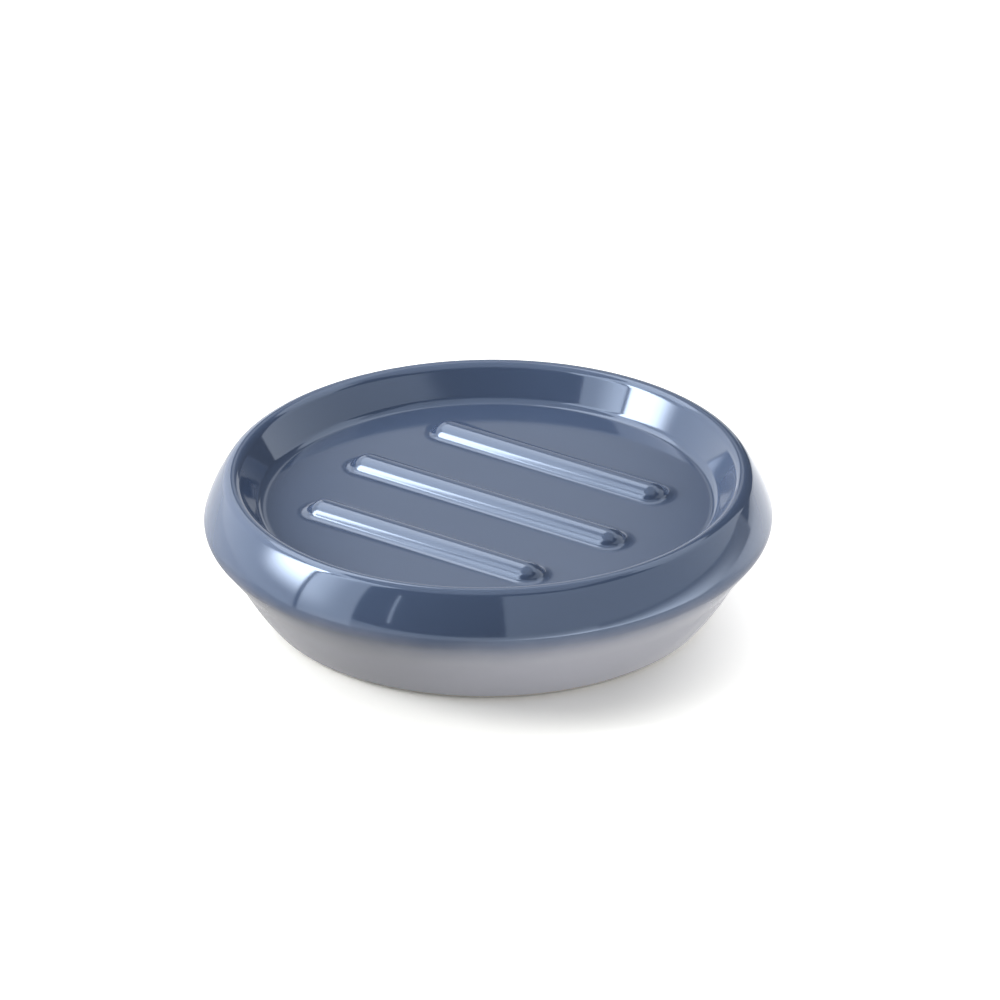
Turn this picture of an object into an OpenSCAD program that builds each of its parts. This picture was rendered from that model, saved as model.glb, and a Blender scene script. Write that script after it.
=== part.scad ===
// Round ceramic soap dish: a hollow slip-cast body under two glazes, on four clear pads.
// Millimetres, +Z up. The origin is on the table, under the centre of the dish.
// The ribs of the tray run along X.

/* [Dish] */
// Diameter at the widest line of the lip
dish_d = 122; // [110:1:150]
// Height from the table to the ridge of the lip
dish_h = 30; // [27:0.5:40]
// Height of the widest line above the table
belly_z = 19.7; // [17:0.1:21]
// Round of the belly below the widest line
belly_r = 3; // [2:0.1:5]
// Round of the belly above the widest line
shoulder_r = 4; // [2:0.1:6]
// Lean of the band above the belly, from vertical
band_lean = 26; // [18:1:32]
// Swell of the band between the shoulder and the ridge
band_r = 30; // [24:1:60]
// Round of the ridge of the lip
ridge_r = 2.4; // [1.6:0.1:3]

/* [Tray] */
// Depth from the ridge to the floor of the tray
tray_depth = 7.3; // [6.5:0.1:9.5]
// Slope of the wall of the tray, from horizontal
wall_slope = 58; // [50:1:72]
// Fillet between the wall and the floor
tray_fillet = 2.6; // [1.2:0.1:4]

/* [Ribs] */
// Length of the middle rib at its base
rib_long = 75; // [50:1:84]
// Length of each outer rib at its base
rib_short = 65; // [40:1:72]
// Distance between the centre lines of neighbouring ribs
rib_pitch = 23; // [14:0.5:26]
// Height of the ribs above the floor
rib_h = 2.6; // [1.5:0.1:3.5]
// Radius of the crown of a rib
rib_crown = 4.2; // [3.6:0.1:7]
// Fillet between the side of a rib and its skirt
rib_fillet = 1.2; // [0.6:0.1:2]
// Hollow round of the skirt, where the glaze runs out into the floor
rib_skirt = 9; // [5:0.5:12]
// Slope of the skirt where it meets the fillet
skirt_rise = 12; // [6:1:16]

/* [Flank and foot] */
// Diameter of the flat ring that the foot stands on
foot_d = 94; // [76:0.5:100]
// Round of the outer corner of the foot
foot_r = 1.2; // [0.8:0.1:2.5]
// Height of the neck, where the belly runs into the flank
neck_z = 11; // [8:0.5:13]
// How far the neck is drawn in from a straight line between belly and foot
neck_in = 0.4; // [0:0.1:1]
// Hollow round of the neck
neck_r = 18; // [6:1:30]
// Swell of the flank between the foot and the neck
flank_r = 60; // [30:1:90]
// Width of the ring under the foot
ring_w = 9; // [8:0.5:14]
// Depth of the recess inside the ring
recess_h = 1.6; // [0.8:0.1:3]
// Slope of the side of the recess, from vertical
recess_draft = 20; // [5:1:40]

/* [Wall] */
// Thickness of the cast wall
wall_t = 4; // [3:0.1:5]
// Round inside the cast wall
cast_r = 2.5; // [1:0.1:4]
// Diameter of the vent hole in the base
vent_d = 6; // [3:0.5:12]

/* [Glaze] */
// Thickness of the glaze coats
glaze_t = 0.4; // [0.2:0.05:0.7]
// Height at which the blue glaze gives way to the white one
fade_z = 14.5; // [12.5:0.5:17]
// Height at which the white glaze stops above the bare foot
bare_z = 1.3; // [1:0.1:4]

/* [Pads] */
// Diameter of a pad
pad_d = 9; // [5:0.5:12]
// How far the pads stand below the foot ring
pad_proud = 0.3; // [0.2:0.1:1]
// Round of the lower edge of a pad
pad_edge = 0.3; // [0.1:0.05:0.6]
// Space between a pad and the side of the recess
pad_inset = 1.5; // [0.5:0.1:4]

/* [Hidden] */
$fn = 180;
pad_count = 4;
over = 1;
// Most that a round of the profile may stray from its true curve
sag = 0.01;

// Unit vector at an angle from the radial axis, in the plane of the profile
function dir(a) = [cos(a), sin(a)];
// Angle of a vector from the radial axis
function angle_of(v) = atan2(v[1], v[0]);

// Rounds above the widest line. Each is a centre in [radius, height].
// The ridge stands on a straight line at the lean of the band, which then swells out between the two.
shoulder_c = [dish_d / 2 - shoulder_r, belly_z];
ridge_z = dish_h - ridge_r;
ridge_c = [shoulder_c[0] + (shoulder_r - ridge_r - (ridge_z - belly_z) * sin(band_lean)) / cos(band_lean),
           ridge_z];
band_v = ridge_c - shoulder_c;
band_in = band_r - shoulder_r;
band_turn = acos((norm(band_v) ^ 2 + band_in ^ 2 - (band_r - ridge_r) ^ 2) / (2 * norm(band_v) * band_in));
band_c = shoulder_c + band_in * dir(angle_of(band_v) + band_turn);
band_a0 = angle_of(shoulder_c - band_c);
band_a1 = angle_of(ridge_c - band_c);
wall_a = 90 + wall_slope;
floor_z = dish_h - tray_depth;
fillet_z = floor_z + tray_fillet;
fillet_c = [ridge_c[0] - (ridge_r + tray_fillet - (fillet_z - ridge_z) * cos(wall_slope)) / sin(wall_slope),
            fillet_z];

// Rounds below the widest line. The neck is set in from the straight line that touches both.
belly_c = [dish_d / 2 - belly_r, belly_z];
foot_c = [foot_d / 2, pad_proud - glaze_t + foot_r];
line_v = belly_c - foot_c;
line_a = angle_of(line_v) - 90 - asin((belly_r - foot_r) / norm(line_v));
line_p = foot_c + foot_r * dir(line_a);
neck_p = line_p + [(line_p[1] - neck_z) * tan(line_a), neck_z - line_p[1]] - neck_in * dir(line_a);
// The straight underside of the belly touches the belly and ends at the neck
under_v = belly_c - neck_p;
under_a = angle_of(under_v) - 90 - asin(belly_r / norm(under_v));
under_n = dir(under_a);
under_u = dir(under_a + 90);
// The flank swells out from the neck down to the foot
flank_v = neck_p - foot_c;
flank_in = flank_r - foot_r;
flank_turn = acos((norm(flank_v) ^ 2 + flank_in ^ 2 - flank_r ^ 2) / (2 * norm(flank_v) * flank_in));
flank_c = foot_c + flank_in * dir(angle_of(flank_v) + flank_turn);
// The hollow of the neck touches the straight underside and the flank
neck_v = flank_c - neck_p;
neck_rise = neck_v * under_u
          + sqrt((neck_v * under_u) ^ 2 + 2 * neck_r * (neck_v * under_n + flank_r));
neck_c = neck_p + neck_rise * under_u + neck_r * under_n;
neck_a = angle_of(neck_c - flank_c);
foot_a = angle_of(foot_c - flank_c);

// Ribs: a crown, then on each side a fillet and a skirt that runs out into the floor
crown_z = floor_z + rib_h - rib_crown;
rib_steep = acos((rib_crown - rib_h + rib_fillet * cos(skirt_rise) + rib_skirt * (1 - cos(skirt_rise)))
                 / (rib_crown + rib_fillet));
rib_half = (rib_crown + rib_fillet) * sin(rib_steep) + (rib_skirt - rib_fillet) * sin(skirt_rise);
skirt_c = [rib_half, floor_z + rib_skirt];
side_c = skirt_c + (rib_skirt - rib_fillet) * dir(270 - skirt_rise);

// Inside of the cast wall
cast_in = wall_t + glaze_t;
cast_top = floor_z - cast_in;
recess_z = pad_proud + recess_h;
cast_floor = recess_z + wall_t;
recess_r = foot_d / 2 - ring_w;
recess_top_r = recess_r - recess_h * tan(recess_draft);

pad_ring = recess_top_r - pad_inset - pad_d / 2;

// Steps of a round that keep it within the sag
function steps(r, a0, a1) = ceil(abs(a1 - a0) / (2 * acos(1 - sag / r)));
// Points of a round from one angle to another, drawn t inside it, from point number i0 on
function arc(c, r, a0, a1, t, i0) =
    let (n = steps(r, a0, a1)) [for (i = [i0:n]) c + (r - t) * dir(a0 + (a1 - a0) * i / n)];

// Half profile of the dish without its cavity, drawn inside the finished surface by t
module half_profile(t) {
    polygon(concat(
        [[0, foot_c[1] - foot_r + t]],
        arc(foot_c, foot_r, -90, foot_a, t, 0),
        arc(flank_c, flank_r, foot_a, neck_a, t, 1),
        arc(neck_c, neck_r, neck_a + 180, under_a + 180, -t, 1),
        arc(belly_c, belly_r, under_a, 0, t, 0),
        arc(shoulder_c, shoulder_r, 0, band_a0, t, 1),
        arc(band_c, band_r, band_a0, band_a1, t, 1),
        arc(ridge_c, ridge_r, band_a1, wall_a, t, 1),
        arc(fillet_c, tray_fillet, wall_a + 180, 270, -t, 0),
        [[0, floor_z - t]]
    ));
}

// Half section of a rib from its centre line outwards and back, drawn t inside the surface
function half_rib(t) = concat(
    [[0, floor_z - t - over], [rib_half, floor_z - t - over]],
    arc(skirt_c, rib_skirt, 270, 270 - skirt_rise, -t, 0),
    arc(side_c, rib_fillet, 270 - skirt_rise, 270 - rib_steep, -t, 1),
    arc([0, crown_z], rib_crown, 90 - rib_steep, 90, t, 1)
);

// One rib along X with round ends
module rib(l, t) {
    half = half_rib(t);
    other = [for (i = [len(half) - 2:-1:1]) [-half[i][0], half[i][1]]];
    run = l - 2 * rib_half;
    rotate([90, 0, 90]) translate([0, 0, -run / 2]) linear_extrude(run) polygon(concat(half, other));
    for (s = [-1, 1])
        translate([s * run / 2, 0, 0]) rotate([0, 0, -s * 90]) rotate_extrude(angle = 180) polygon(half);
}

// Whole dish without its cavity, drawn inside the finished surface by t
module dish_form(t) {
    rotate_extrude() half_profile(t);
    for (i = [-1, 0, 1])
        translate([0, i * rib_pitch, 0]) rib(i == 0 ? rib_long : rib_short, t);
}

// Half profile of the cavity that the cast wall leaves
module half_cavity() {
    under_in = belly_c + (belly_r - cast_in) * under_n;
    top_p = under_in + under_u * (cast_top - under_in[1]) / under_u[1];
    low_p = [flank_c[0] + sqrt((flank_r - cast_in) ^ 2 - (flank_c[1] - cast_floor) ^ 2), cast_floor];
    side_a = angle_of(top_p - low_p) - 90;
    side_n = dir(side_a);
    side_u = dir(side_a + 90);
    low_c = low_p + side_u * cast_r * (1 + side_n[1]) / side_u[1] - cast_r * side_n;
    top_c = top_p - side_u * cast_r * (1 - side_n[1]) / side_u[1] - cast_r * side_n;
    polygon(concat(
        [[0, cast_floor]],
        arc(low_c, cast_r, -90, side_a, 0, 0),
        arc(top_c, cast_r, side_a, 90, 0, 0),
        [[0, cast_top]]
    ));
}

module ceramic_body() {
    color([0.9, 0.88, 0.84]) difference() {
        dish_form(glaze_t);
        rotate_extrude() half_cavity();
        rotate_extrude() polygon([
            [0, pad_proud - over],
            [recess_r + over * tan(recess_draft), pad_proud - over],
            [recess_top_r, recess_z],
            [0, recess_z]
        ]);
        cylinder(d = vent_d, h = cast_floor + over);
    }
}

module blue_glaze() {
    color([0.39, 0.44, 0.55]) difference() {
        dish_form(0);
        dish_form(glaze_t);
        translate([0, 0, -over]) cylinder(d = dish_d + 2 * over, h = fade_z + over);
    }
}

module white_glaze() {
    color([0.86, 0.86, 0.85]) rotate_extrude() intersection() {
        difference() {
            half_profile(0);
            half_profile(glaze_t);
        }
        translate([0, bare_z]) square([dish_d, fade_z - bare_z]);
    }
}

// Clear pad number i, under the recessed base
module foot_pad(i) {
    color([0.88, 0.91, 0.92, 0.6]) rotate([0, 0, (i - 0.5) * 360 / pad_count])
        translate([pad_ring, 0, 0]) rotate_extrude() {
            translate([0, pad_edge]) square([pad_d / 2, recess_z - pad_edge]);
            square([pad_d / 2 - pad_edge, recess_z]);
            translate([pad_d / 2 - pad_edge, pad_edge]) circle(pad_edge);
        }
}

ceramic_body();
blue_glaze();
white_glaze();
for (i = [1:pad_count])
    foot_pad(i);
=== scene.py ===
from math import acos, asin, atan2, ceil, cos, degrees, pi, radians, sin, sqrt, tan

import bmesh
import bpy
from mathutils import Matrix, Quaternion, Vector


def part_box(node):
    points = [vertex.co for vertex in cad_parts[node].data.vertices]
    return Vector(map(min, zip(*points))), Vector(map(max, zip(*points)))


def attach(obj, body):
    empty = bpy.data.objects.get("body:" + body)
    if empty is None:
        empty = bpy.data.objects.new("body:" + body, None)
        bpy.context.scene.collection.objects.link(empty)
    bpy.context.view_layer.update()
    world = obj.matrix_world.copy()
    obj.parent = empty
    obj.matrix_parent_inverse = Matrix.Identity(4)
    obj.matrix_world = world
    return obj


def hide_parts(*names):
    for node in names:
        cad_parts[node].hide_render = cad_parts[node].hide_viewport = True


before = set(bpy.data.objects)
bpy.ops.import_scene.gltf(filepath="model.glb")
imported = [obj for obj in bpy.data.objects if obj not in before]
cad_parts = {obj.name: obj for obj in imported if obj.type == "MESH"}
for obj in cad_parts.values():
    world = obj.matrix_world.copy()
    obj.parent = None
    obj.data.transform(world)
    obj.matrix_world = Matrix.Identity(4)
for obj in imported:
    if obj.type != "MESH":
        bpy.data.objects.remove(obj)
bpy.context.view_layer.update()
scene = bpy.context.scene
scene.view_settings.view_transform = "Standard"
mm = 0.001
weld = 0.001 * mm  # points nearer than this are one
print("frame loaded")

# The dish's profile: straight runs and rounds that touch each other, in millimetres

blueLow, blueHigh = (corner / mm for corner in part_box("blue_glaze"))
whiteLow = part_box("white_glaze")[0] / mm

dish = {
    "rim": blueHigh.x,  # radius at the widest line
    "height": blueHigh.z,
    "fade": blueLow.z,  # where one coat of glaze meets the other
    "bare": whiteLow.z,  # where the glaze stops above the foot
    "belly": 19.7,  # height of the widest line
    "bellyRound": 3,
    "shoulderRound": 4,
    "bandLean": 26,  # from vertical, of the straight line that the band swells out from
    "bandRound": 30,
    "ridgeRound": 2.4,
    "wallSlope": 58,  # from horizontal
    "trayDepth": 7.3,
    "filletRound": 2.6,
    "foot": Vector((47, 1.1)),  # centre of the round at the foot
    "footRound": 1.2,
    "neck": 11,  # height where the underside runs into the flank
    "neckIn": 0.4,
    "neckRound": 18,
    "flankRound": 60,
    "glaze": 0.4,  # thickness of a coat
    "flatStrip": 0.3,  # strip of level floor beside each round
    "turnSteps": 288,
    "sag": 0.002,  # most that a step strays from its round
    "smoothTo": 35,  # sharper edges than this, in degrees, stay sharp
}
floorHeight = dish["height"] - dish["trayDepth"]


def along(angle):
    return Vector((cos(radians(angle)), sin(radians(angle))))


def angleOf(v):
    return degrees(atan2(v.y, v.x))


def upperRounds(d):  # centres of the shoulder, the band, the ridge and the fillet of the tray
    shoulder = Vector((d["rim"] - d["shoulderRound"], d["belly"]))
    lean = radians(d["bandLean"])
    ridge = Vector((0, d["height"] - d["ridgeRound"]))
    rise = ridge.y - shoulder.y
    ridge.x = shoulder.x + (d["shoulderRound"] - d["ridgeRound"] - rise * sin(lean)) / cos(lean)
    run = ridge - shoulder
    inner, outer = d["bandRound"] - d["shoulderRound"], d["bandRound"] - d["ridgeRound"]
    turn = acos((run.length**2 + inner**2 - outer**2) / (2 * run.length * inner))
    band = shoulder + inner * along(angleOf(run) + degrees(turn))
    slope = radians(d["wallSlope"])
    fillet = Vector((0, floorHeight + d["filletRound"]))
    drop = ridge.y - fillet.y
    fillet.x = ridge.x - (d["ridgeRound"] + d["filletRound"] + drop * cos(slope)) / sin(slope)
    return shoulder, band, ridge, fillet


def lowerRounds(d):  # centres of the belly, the neck and the flank, and the lean of the underside
    belly = Vector((d["rim"] - d["bellyRound"], d["belly"]))
    run = belly - d["foot"]
    lineLean = angleOf(run) - 90 - degrees(asin((d["bellyRound"] - d["footRound"]) / run.length))
    touch = d["foot"] + d["footRound"] * along(lineLean)
    rise = d["neck"] - touch.y
    neckPoint = touch + Vector((-rise * tan(radians(lineLean)), rise)) - d["neckIn"] * along(lineLean)
    run = belly - neckPoint
    underLean = angleOf(run) - 90 - degrees(asin(d["bellyRound"] / run.length))
    run = neckPoint - d["foot"]
    inner = d["flankRound"] - d["footRound"]
    turn = acos((run.length**2 + inner**2 - d["flankRound"]**2) / (2 * run.length * inner))
    flank = d["foot"] + inner * along(angleOf(run) + degrees(turn))
    out, up = along(underLean), along(underLean + 90)
    run = flank - neckPoint
    rise = run @ up + sqrt((run @ up)**2 + 2 * d["neckRound"] * (run @ out + d["flankRound"]))
    neck = neckPoint + rise * up + d["neckRound"] * out
    return belly, neck, flank, underLean


def startLine(name, point):  # a mesh of one vertex, left in edit mode
    bpy.ops.object.select_all(action="DESELECT")
    bpy.ops.mesh.primitive_plane_add(size=mm, location=(0, 0, 0))
    piece = bpy.context.object
    piece.name = piece.data.name = name
    bpy.ops.object.mode_set(mode="EDIT")
    bpy.ops.mesh.select_mode(type="VERT")
    bpy.ops.mesh.merge(type="CENTER")
    bpy.ops.transform.translate(value=Vector(point) * mm)
    return piece


def lineTo(piece, point):  # extrudes the last vertex straight to a point
    last = next(v.co.copy() for v in bmesh.from_edit_mesh(piece.data).verts if v.select)
    bpy.ops.mesh.extrude_region_move(TRANSFORM_OT_translate={"value": Vector(point) * mm - last})


def turnAbout(centre, radius, sweep, axis):  # spins the last vertex round a centre
    steps = ceil(abs(sweep) / (2 * degrees(acos(1 - dish["sag"] / radius))))
    bpy.ops.mesh.spin(steps=steps, angle=radians(sweep), center=Vector(centre) * mm, axis=axis)


def inPlane(point):  # a point of the profile, in space
    return Vector((point.x, 0, point.y))


def revolve():
    bpy.ops.mesh.select_all(action="SELECT")
    bpy.ops.mesh.spin(steps=dish["turnSteps"], angle=2 * pi, center=(0, 0, 0), axis=(0, 0, 1))
    tidyMesh()


def tidyMesh():
    bpy.ops.mesh.select_all(action="SELECT")
    bpy.ops.mesh.remove_doubles(threshold=weld)
    bpy.ops.mesh.normals_make_consistent(inside=False)


def selectEdges(piece, wanted):
    bpy.ops.mesh.select_mode(type="EDGE")
    bpy.ops.mesh.select_all(action="DESELECT")
    mesh = bmesh.from_edit_mesh(piece.data)
    for edge in mesh.edges:
        edge.select_set(wanted(edge))
    mesh.select_flush_mode()
    bmesh.update_edit_mesh(piece.data)


def faceOut(piece):  # turns an open skin so that its widest line faces out
    mesh = bmesh.from_edit_mesh(piece.data)
    widest = max(mesh.faces, key=lambda f: f.calc_center_median().xy.length)
    if widest.normal.xy @ widest.calc_center_median().xy < 0:
        bpy.ops.mesh.select_all(action="SELECT")
        bpy.ops.mesh.flip_normals()


def finishSkin(piece):  # gives a skin the thickness of the coat, inwards, and smooths it
    faceOut(piece)
    bpy.ops.object.mode_set(mode="OBJECT")
    wall = piece.modifiers.new("coat", "SOLIDIFY")
    wall.thickness = dish["glaze"] * mm
    wall.offset = -1
    wall.use_even_offset = True
    bpy.ops.object.modifier_apply(modifier=wall.name)
    bpy.ops.object.shade_smooth_by_angle(angle=radians(dish["smoothTo"]))


shoulder, band, ridge, fillet = upperRounds(dish)
belly, neck, flank, underLean = lowerRounds(dish)
bandFrom, bandTo = angleOf(shoulder - band), angleOf(ridge - band)
wallLean = 90 + dish["wallSlope"]
neckLean = angleOf(neck - flank)
spinAxis = (0, 1, 0)  # a spin turns against its axis, so this lifts the radius towards the height
fadePoint = belly + dish["bellyRound"] * along(underLean)
fadePoint += along(underLean + 90) * (dish["fade"] - fadePoint.y) / along(underLean + 90).y

# Ribs of the tray

ribs = {
    "long": 75,  # the middle one, at its base
    "short": 65,  # the outer ones
    "pitch": 23,
    "height": 2.6,
    "crown": 4.2,  # round of the top
    "fillet": 1.2,
    "skirt": 9,  # hollow round that runs out into the floor
    "skirtRise": 12,  # slope of the skirt where it meets the fillet
    "endSteps": 32,  # steps of a quarter turn at an end
}


def makeRib(name, length, across):
    crown, hollow, skirt, rise = (ribs[key] for key in ("crown", "fillet", "skirt", "skirtRise"))
    crownHeight = floorHeight + ribs["height"] - crown
    low, high = sin(radians(rise)), cos(radians(rise))
    steep = acos((crown - ribs["height"] + hollow * high + skirt * (1 - high)) / (crown + hollow))
    half = (crown + hollow) * sin(steep) + (skirt - hollow) * low
    run = length / 2 - half
    # half section from the level floor up to the crown, across the rib
    rib = startLine(name, (0, half + dish["flatStrip"], floorHeight))
    lineTo(rib, (0, half, floorHeight))
    turnAbout((0, half, floorHeight + skirt), skirt, -rise, (-1, 0, 0))
    sideCentre = (0, half - (skirt - hollow) * low, floorHeight + skirt - (skirt - hollow) * high)
    turnAbout(sideCentre, hollow, rise - degrees(steep), (-1, 0, 0))
    turnAbout((0, 0, crownHeight), crown, degrees(steep), (-1, 0, 0))
    # along the rib, then round its end: a quarter of it, which two mirrors make whole
    bpy.ops.mesh.select_all(action="SELECT")
    bpy.ops.mesh.extrude_region_move(TRANSFORM_OT_translate={"value": (run * mm, 0, 0)})
    bpy.ops.mesh.spin(steps=ribs["endSteps"], angle=pi / 2, center=(run * mm, 0, 0), axis=(0, 0, 1))
    tidyMesh()
    bpy.ops.object.mode_set(mode="OBJECT")
    mirror = rib.modifiers.new("halves", "MIRROR")
    mirror.use_axis = (True, True, False)
    mirror.merge_threshold = weld
    bpy.ops.object.modifier_apply(modifier=mirror.name)
    bpy.ops.object.mode_set(mode="EDIT")
    tidyMesh()
    bpy.ops.transform.translate(value=(0, across * mm, 0))
    bpy.ops.object.mode_set(mode="OBJECT")
    return rib


# Blue coat: underside, belly, band, ridge, wall of the tray, floor and ribs in one skin


def makeBlueGlaze():
    skin = startLine("glazeBlue", inPlane(fadePoint))
    lineTo(skin, inPlane(belly + dish["bellyRound"] * along(underLean)))
    turnAbout(inPlane(belly), dish["bellyRound"], -underLean, spinAxis)
    turnAbout(inPlane(shoulder), dish["shoulderRound"], bandFrom, spinAxis)
    turnAbout(inPlane(band), dish["bandRound"], bandTo - bandFrom, spinAxis)
    turnAbout(inPlane(ridge), dish["ridgeRound"], wallLean - bandTo, spinAxis)
    lineTo(skin, inPlane(fillet - dish["filletRound"] * along(wallLean)))
    turnAbout(inPlane(fillet), dish["filletRound"], 90 - wallLean, spinAxis)
    lineTo(skin, (fillet.x - dish["flatStrip"], 0, floorHeight))
    revolve()
    bpy.ops.object.mode_set(mode="OBJECT")
    middle = makeRib("ribMiddle", ribs["long"], 0)
    near = makeRib("ribNear", ribs["short"], -ribs["pitch"])
    far = makeRib("ribFar", ribs["short"], ribs["pitch"])
    for rib in (middle, near, far):
        rib.select_set(True)
    skin.select_set(True)
    bpy.context.view_layer.objects.active = skin
    bpy.ops.object.join()
    bpy.ops.object.mode_set(mode="EDIT")
    level = floorHeight * mm
    selectEdges(skin, lambda e: e.is_boundary and all(abs(v.co.z - level) < weld for v in e.verts))
    bpy.ops.mesh.fill(use_beauty=True)
    tidyMesh()
    finishSkin(skin)
    return skin


# White coat: flank and neck, down to the bare foot


def makeWhiteGlaze():
    bareAngle = degrees(asin((dish["bare"] - flank.y) / dish["flankRound"]))
    skin = startLine("glazeWhite", inPlane(flank + dish["flankRound"] * along(bareAngle)))
    turnAbout(inPlane(flank), dish["flankRound"], neckLean - bareAngle, spinAxis)
    turnAbout(inPlane(neck), dish["neckRound"], underLean - neckLean, spinAxis)
    lineTo(skin, inPlane(fadePoint))
    revolve()
    finishSkin(skin)
    return skin


glazeBlue = makeBlueGlaze()
glazeWhite = makeWhiteGlaze()
print("glaze coats modelled:", len(glazeBlue.data.polygons), len(glazeWhite.data.polygons), "faces")

# Materials


def newMaterial(name):
    material = bpy.data.materials.new(name)
    material.use_nodes = True
    tree = material.node_tree
    return material, tree, tree.nodes["Principled BSDF"]


def feed(tree, socket, value):  # a link from another node, or a plain value
    if isinstance(value, bpy.types.NodeSocket):
        tree.links.new(value, socket)
    else:
        socket.default_value = value


def addNode(tree, kind, settings=(), **inputs):
    node = tree.nodes.new(kind)
    for name, value in dict(settings).items():
        setattr(node, name, value)
    for name, value in inputs.items():
        feed(tree, node.inputs[name], value)
    return node


def objectPoint(tree):
    return addNode(tree, "ShaderNodeTexCoord").outputs["Object"]


def noise(tree, size, detail=2):  # size is the pattern's own, in millimetres
    node = addNode(tree, "ShaderNodeTexNoise", Vector=objectPoint(tree), Scale=1 / (size * mm),
                   Detail=detail)
    return node.outputs["Fac"]


def spread(tree, value, low, high):  # turns 0 to 1 into low to high
    node = addNode(tree, "ShaderNodeMapRange", Value=value)
    node.inputs["To Min"].default_value = low
    node.inputs["To Max"].default_value = high
    return node.outputs["Result"]


def ramp(tree, value, start, end, low=0, high=1):  # from low at the start to high at the end, smoothly
    node = addNode(tree, "ShaderNodeMapRange", {"interpolation_type": "SMOOTHSTEP"}, Value=value)
    node.inputs["From Min"].default_value = start
    node.inputs["From Max"].default_value = end
    node.inputs["To Min"].default_value = low
    node.inputs["To Max"].default_value = high
    return node.outputs["Result"]


def mathNode(tree, operation, first, second):
    node = addNode(tree, "ShaderNodeMath", {"operation": operation})
    feed(tree, node.inputs[0], first)
    feed(tree, node.inputs[1], second)
    return node.outputs["Value"]


def vectorNode(tree, operation, first, second):
    node = addNode(tree, "ShaderNodeVectorMath", {"operation": operation})
    feed(tree, node.inputs[0], first)
    feed(tree, node.inputs[1], second)
    return node


def mixColours(tree, factor, first, second, blend="MIX"):
    node = addNode(tree, "ShaderNodeMix", {"data_type": "RGBA", "blend_type": blend})
    for socket, value in zip((node.inputs[0], node.inputs[6], node.inputs[7]), (factor, first, second)):
        feed(tree, socket, value)
    return node.outputs[2]


def mottle(tree, colour, value):  # darkens and lightens a colour by a grey value
    grey = addNode(tree, "ShaderNodeCombineColor", Red=value, Green=value, Blue=value).outputs["Color"]
    return mixColours(tree, 1.0, colour, grey, "MULTIPLY")


def roughen(tree, shader, size, detail, strength, depth):  # bumps, with size and depth in millimetres
    bump = addNode(tree, "ShaderNodeBump", Height=noise(tree, size, detail), Strength=strength,
                   Distance=depth * mm)
    tree.links.new(bump.outputs["Normal"], shader.inputs["Normal"])


# Sizes are those of the patterns, and all lengths are in millimetres
glaze = {
    "blue": (0.055, 0.081, 0.145, 1),
    # off-white coat; its slight blue is painted, standing in for the bluish light that falls on the flank
    "white": (0.5, 0.49, 0.515, 1),
    "fadeFrom": 11.5,  # height where the blue is gone
    "fadeTo": 22,  # and where it is full
    "fadeWander": 1.2,  # how far the sprayed edge strays
    "wanderSize": 14,
    "cloudSize": 22,
    "cloud": (0.94, 1.06),  # darkest and lightest of the uneven colour
    "tint": (0.66, 0.79, 1, 1),
    "gloss": 0.07,
    "glossSize": 9,
    "glossLow": 0.8,
    "glossHigh": 1.3,
    "worn": 0.04,  # added in the tray, where soap and water have dulled the gloss
    "wornTo": 41,  # distance from the middle up to which the tray is dulled
    "wornEnd": 46,  # and where the full gloss begins
    "ior": 1.6,
    "specular": 0.9,
    "waveSize": 16,
    "waveStrength": 1.0,
    "waveDepth": 0.02,
}


def glazeMaterial(name):
    material, tree, shader = newMaterial(name)
    height = addNode(tree, "ShaderNodeSeparateXYZ", Vector=objectPoint(tree)).outputs["Z"]
    stray = glaze["fadeWander"] * mm
    wander = spread(tree, noise(tree, glaze["wanderSize"], 3), -stray, stray)
    sprayed = ramp(tree, mathNode(tree, "ADD", height, wander), glaze["fadeFrom"] * mm,
                   glaze["fadeTo"] * mm)
    coat = mixColours(tree, sprayed, glaze["white"], glaze["blue"])
    cloud = spread(tree, noise(tree, glaze["cloudSize"], 3), *glaze["cloud"])
    tree.links.new(mottle(tree, coat, cloud), shader.inputs["Base Color"])
    gloss = spread(tree, noise(tree, glaze["glossSize"]), glaze["gloss"] * glaze["glossLow"],
                   glaze["gloss"] * glaze["glossHigh"])
    level = vectorNode(tree, "MULTIPLY", objectPoint(tree), (1, 1, 0))
    away = addNode(tree, "ShaderNodeVectorMath", {"operation": "LENGTH"})
    tree.links.new(level.outputs["Vector"], away.inputs[0])
    worn = ramp(tree, away.outputs["Value"], glaze["wornEnd"] * mm, glaze["wornTo"] * mm, 0, glaze["worn"])
    tree.links.new(mathNode(tree, "ADD", gloss, worn), shader.inputs["Roughness"])
    shader.inputs["IOR"].default_value = glaze["ior"]
    shader.inputs["Specular IOR Level"].default_value = glaze["specular"]
    shader.inputs["Specular Tint"].default_value = glaze["tint"]
    roughen(tree, shader, glaze["waveSize"], 1, glaze["waveStrength"], glaze["waveDepth"])
    return material


clay = {
    "dark": (0.66, 0.62, 0.55, 1),
    "light": (0.76, 0.73, 0.67, 1),
    "cloudSize": 12,
    "fleckSize": 0.7,
    "fleck": (0.9, 1.08),
    "roughSize": 1.5,
    "rough": (0.75, 0.95),
    "grainSize": 0.5,
    "grainStrength": 0.6,
    "grainDepth": 0.05,
}


def bisqueMaterial():
    material, tree, shader = newMaterial("firedClay")
    cloud = mixColours(tree, noise(tree, clay["cloudSize"], 4), clay["dark"], clay["light"])
    fleck = spread(tree, noise(tree, clay["fleckSize"]), *clay["fleck"])
    tree.links.new(mottle(tree, cloud, fleck), shader.inputs["Base Color"])
    rough = spread(tree, noise(tree, clay["roughSize"], 3), *clay["rough"])
    tree.links.new(rough, shader.inputs["Roughness"])
    roughen(tree, shader, clay["grainSize"], 4, clay["grainStrength"], clay["grainDepth"])
    return material


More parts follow.
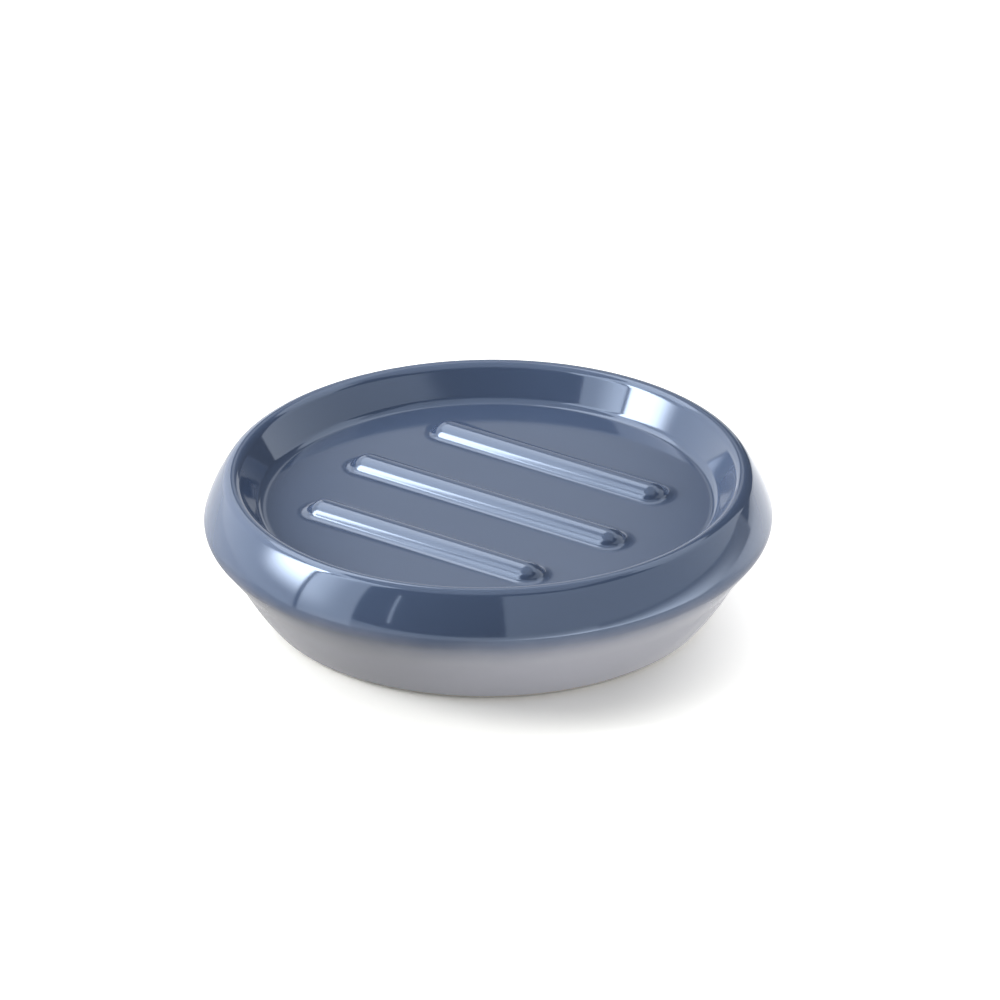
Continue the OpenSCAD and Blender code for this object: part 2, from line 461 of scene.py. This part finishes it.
rubber = {
    "dark": (0.84, 0.88, 0.9, 1),
    "light": (0.92, 0.94, 0.95, 1),
    "cloudSize": 4,
    "roughSize": 2,
    "rough": (0.18, 0.3),
    "ior": 1.41,
    "clear": 0.75,
    "grainSize": 0.8,
    "grainStrength": 0.4,
    "grainDepth": 0.02,
}


def padMaterial():
    material, tree, shader = newMaterial("clearRubber")
    cloud = mixColours(tree, noise(tree, rubber["cloudSize"]), rubber["dark"], rubber["light"])
    tree.links.new(cloud, shader.inputs["Base Color"])
    rough = spread(tree, noise(tree, rubber["roughSize"]), *rubber["rough"])
    tree.links.new(rough, shader.inputs["Roughness"])
    shader.inputs["IOR"].default_value = rubber["ior"]
    shader.inputs["Transmission Weight"].default_value = rubber["clear"]
    roughen(tree, shader, rubber["grainSize"], 2, rubber["grainStrength"], rubber["grainDepth"])
    return material


def dress(piece, material):
    piece.data.materials.clear()
    piece.data.materials.append(material)


dress(glazeBlue, glazeMaterial("blueGlaze"))
dress(glazeWhite, glazeMaterial("whiteGlaze"))
dress(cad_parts["ceramic_body"], bisqueMaterial())
clearRubber = padMaterial()
for name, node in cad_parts.items():
    if name.startswith("foot_pad"):
        dress(node, clearRubber)
for piece, coat in ((glazeBlue, "blue_glaze"), (glazeWhite, "white_glaze")):
    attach(piece, "root")
    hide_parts(coat)
print("finishes on")

# Camera

shot = {
    "azimuth": 35.5,  # round from the front, in degrees
    "elevation": 26.5,
    "roll": 0.56,
    "distance": 3,  # metres
    "scale": 4650,  # pixels to a metre at the dish
    "origin": (489, 597.5),  # pixel where the middle of the foot lands
    "frame": 1000,  # pixels across the picture
}


def placeCamera():
    turn, rise = radians(shot["azimuth"]), radians(shot["elevation"])
    back = Vector((sin(turn) * cos(rise), -cos(turn) * cos(rise), sin(rise)))
    data = bpy.data.cameras.new("camera")
    camera = bpy.data.objects.new("camera", data)
    scene.collection.objects.link(camera)
    look = (-back).to_track_quat("-Z", "Y") @ Quaternion((0, 0, 1), radians(-shot["roll"]))
    middle = shot["frame"] / 2
    aim = look @ Vector((middle - shot["origin"][0], shot["origin"][1] - middle, 0)) / shot["scale"]
    camera.rotation_mode = "QUATERNION"
    camera.rotation_quaternion = look
    camera.location = aim + back * shot["distance"]
    data.lens = shot["scale"] * data.sensor_width / shot["frame"] * shot["distance"]
    scene.camera = camera


placeCamera()

# Studio: a pale table in a round light tent, which lights the dish and is not seen itself

tent = {
    "radius": 480,
    "steps": 24,  # flat pieces of each wall
    "cornerFrom": 350,  # height from which the corners of the key slant
    "cornerSlant": 42,  # degrees of azimuth to a metre of height
    "ambient": 0.12,
}

# Azimuths are in degrees seen from the camera, 0 straight away from it and more to the right. Heights
# are in millimetres. A fade runs from one azimuth or height to another, from the glow to the dim. At the
# slanting corners of the key the azimuth moves with the height.
walls = {
    "key": {"from": -103, "to": -60, "low": 0, "high": 560, "glow": 15, "dim": 1.6,
            "fades": (("turn", -94, -68), ("height", 230, 60), ("frontCorner", -102, -104),
                      ("backCorner", -86, -73))},
    "left": {"from": -128, "to": -104.8, "low": 0, "high": 560, "glow": 4.6, "dim": 1.9,
             "fades": (("turn", -105, -123), ("height", 150, 30))},
    "backLeft": {"from": -60, "to": -12, "low": 0, "high": 450, "glow": 1.6},
    "overKey": {"from": -128, "to": -60, "low": 560, "high": 850, "glow": 3.2},
    "overBack": {"from": -60, "to": -8, "low": 450, "high": 850, "glow": 3.4},
    "overRight": {"from": -8, "to": 90, "low": 450, "high": 850, "glow": 1.4},
    "back": {"from": -12, "to": 12, "low": 160, "high": 450, "glow": 0.75, "dim": 0.2,
             "fades": (("turn", -3, -8), ("turn", 3, 9))},
    "horizon": {"from": -12, "to": 20, "low": 0, "high": 160, "glow": 1},
    "right": {"from": 52, "to": 174, "low": 85, "high": 450, "glow": 1.25, "dim": 0.9,
              "fades": (("turn", 54, 110),)},
    "frontRight": {"from": 56, "to": 140, "low": 0, "high": 85, "glow": 3.9, "dim": 0.5,
                   "fades": (("turn", 115, 58), ("height", 10, 85))},
    "frontLeft": {"from": 140, "to": 232, "low": 0, "high": 85, "glow": 4.5, "dim": 1.1,
                  "fades": (("turn", 140, 190), ("height", 10, 85))},
    "strip": {"from": -143, "to": -141.8, "low": 120, "high": 330, "glow": 2.4},
}
roof = {"height": 900, "width": 900, "glow": 0.8}


def glowMaterial(name, card, middle=0):
    material, tree, shader = newMaterial(name)
    tree.nodes.remove(shader)
    place = addNode(tree, "ShaderNodeSeparateXYZ", Vector=objectPoint(tree))
    turn = mathNode(tree, "ARCTAN2", place.outputs["X"], place.outputs["Y"])
    over = mathNode(tree, "SUBTRACT", place.outputs["Z"], tent["cornerFrom"] * mm)
    slant = mathNode(tree, "MULTIPLY", mathNode(tree, "MAXIMUM", over, 0), radians(tent["cornerSlant"]))
    ways = {
        "turn": (turn, radians(1), middle),
        "frontCorner": (mathNode(tree, "SUBTRACT", turn, slant), radians(1), middle),
        "backCorner": (mathNode(tree, "ADD", turn, slant), radians(1), middle),
        "height": (place.outputs["Z"], mm, 0),
    }
    light = addNode(tree, "ShaderNodeEmission", Strength=card["glow"])
    kept = 1
    for way, first, last in card.get("fades", ()):
        where, unit, zero = ways[way]
        fade = ramp(tree, where, (first - zero) * unit, (last - zero) * unit, 1, 0)
        kept = mathNode(tree, "MULTIPLY", kept, fade)
    if "fades" in card:
        tree.links.new(spread(tree, kept, card["dim"], card["glow"]), light.inputs["Strength"])
    tree.links.new(light.outputs["Emission"], tree.nodes["Material Output"].inputs["Surface"])
    return material


def hang(card, material):
    card.visible_camera = False
    dress(card, material)


def addWall(name, wall):  # an edge from low to high, spun about the dish
    half = (wall["to"] - wall["from"]) / 2
    middle = wall["from"] + half
    foot = Vector((-sin(radians(half)), cos(radians(half)), 0)) * tent["radius"]
    card = startLine(name + "Wall", foot + Vector((0, 0, wall["low"])))
    lineTo(card, foot + Vector((0, 0, wall["high"])))
    bpy.ops.mesh.select_all(action="SELECT")
    bpy.ops.mesh.spin(steps=tent["steps"], angle=radians(2 * half), center=(0, 0, 0), axis=(0, 0, 1))
    bpy.ops.object.mode_set(mode="OBJECT")
    card.rotation_euler.z = radians(shot["azimuth"] - middle)
    hang(card, glowMaterial(name + "Glow", wall, middle))


def makeTent():
    for name, wall in walls.items():
        addWall(name, wall)
    bpy.ops.mesh.primitive_plane_add(size=roof["width"] * mm, location=(0, 0, roof["height"] * mm))
    card = bpy.context.object
    card.name = "roof"
    card.rotation_euler.z = radians(shot["azimuth"])
    hang(card, glowMaterial("roofGlow", roof))


table = {
    "radius": 6,  # metres
    "roughness": 0.8,
    "seen": (0.97, 0.97, 0.94, 1),
    "bounceLeftPaintedDark": (0.07, 0.07, 0.07, 1),  # painted shade and light: what it gives the dish, from left to right as the camera sees it, dark on the left to shade the flank there and pale on the right to light it
    "bounceRightPaintedPale": (0.56, 0.56, 0.58, 1),
    "bounceFrom": -35,
    "bounceTo": 20,
    "mirroredNear": 0.5,  # what the glaze mirrors of it, from the dish away from the camera
    "mirroredFar": 1,
    "mirroredFrom": 0,
    "mirroredTo": 60,
    "shadow": (9, -30),  # middle of the shadow in front of the dish
    "paintedGlowNear": 0.1,  # painted light: glow for the camera only, which grows away from the shadow and whitens its outer part
    "paintedGlowFar": 0.6,
    "paintedGlowFrom": 38,
    "paintedGlowTo": 78,
}


def rampAlong(tree, direction, first, last):  # 0 to 1 between two distances in a direction
    reach = vectorNode(tree, "DOT_PRODUCT", objectPoint(tree), direction)
    return ramp(tree, reach.outputs["Value"], first * mm, last * mm)


def floorMaterial():  # white to the camera, with painted glow that whitens the outer part of the dish's shadow, which it keeps near the dish's front; grey as a bouncer of light, painted dark on the left and pale on the right
    material, tree, shader = newMaterial("table")
    path = addNode(tree, "ShaderNodeLightPath")
    seen = path.outputs["Is Camera Ray"]
    right = radians(shot["azimuth"])
    # painted shade and light: the table's colour for bounced light runs from dark on the left to pale on
    # the right
    side = rampAlong(tree, (cos(right), sin(right), 0), table["bounceFrom"], table["bounceTo"])
    bounce = mixColours(tree, side, table["bounceLeftPaintedDark"], table["bounceRightPaintedPale"])
    tree.links.new(mixColours(tree, seen, bounce, table["seen"]), shader.inputs["Base Color"])
    shader.inputs["Roughness"].default_value = table["roughness"]
    middle = tuple(value * mm for value in table["shadow"]) + (0,)
    away = vectorNode(tree, "DISTANCE", objectPoint(tree), middle)
    # painted light: camera-only glow on the table, low at the shadow's middle and high away from it
    lift = ramp(tree, away.outputs["Value"], table["paintedGlowFrom"] * mm, table["paintedGlowTo"] * mm,
                table["paintedGlowNear"], table["paintedGlowFar"])
    depth = rampAlong(tree, (-sin(right), cos(right), 0), table["mirroredFrom"], table["mirroredTo"])
    indirect = mathNode(tree, "MAXIMUM", path.outputs["Is Glossy Ray"],
                        path.outputs["Is Transmission Ray"])
    mirrored = mathNode(tree, "MULTIPLY", indirect,
                        spread(tree, depth, table["mirroredNear"], table["mirroredFar"]))
    strength = mathNode(tree, "ADD", mathNode(tree, "MULTIPLY", seen, lift), mirrored)
    light = addNode(tree, "ShaderNodeEmission", Color=(1, 1, 1, 1), Strength=strength)
    both = addNode(tree, "ShaderNodeAddShader")
    tree.links.new(shader.outputs["BSDF"], both.inputs[0])
    tree.links.new(light.outputs["Emission"], both.inputs[1])
    tree.links.new(both.outputs["Shader"], tree.nodes["Material Output"].inputs["Surface"])
    return material


def makeTable():
    bpy.ops.object.select_all(action="DESELECT")
    bpy.ops.mesh.primitive_circle_add(vertices=96, radius=table["radius"], fill_type="NGON",
                                      location=(0, 0, 0))
    disc = bpy.context.object
    disc.name = "table"
    dress(disc, floorMaterial())


def makeWorld():
    world = bpy.data.worlds.new("studio")
    scene.world = world
    world.use_nodes = True
    tree = world.node_tree
    background = tree.nodes["Background"]
    seen = addNode(tree, "ShaderNodeLightPath").outputs["Is Camera Ray"]
    tree.links.new(spread(tree, seen, tent["ambient"], 1), background.inputs["Strength"])
    background.inputs["Color"].default_value = (1, 1, 1, 1)


makeTent()
makeTable()
makeWorld()
print("studio set")
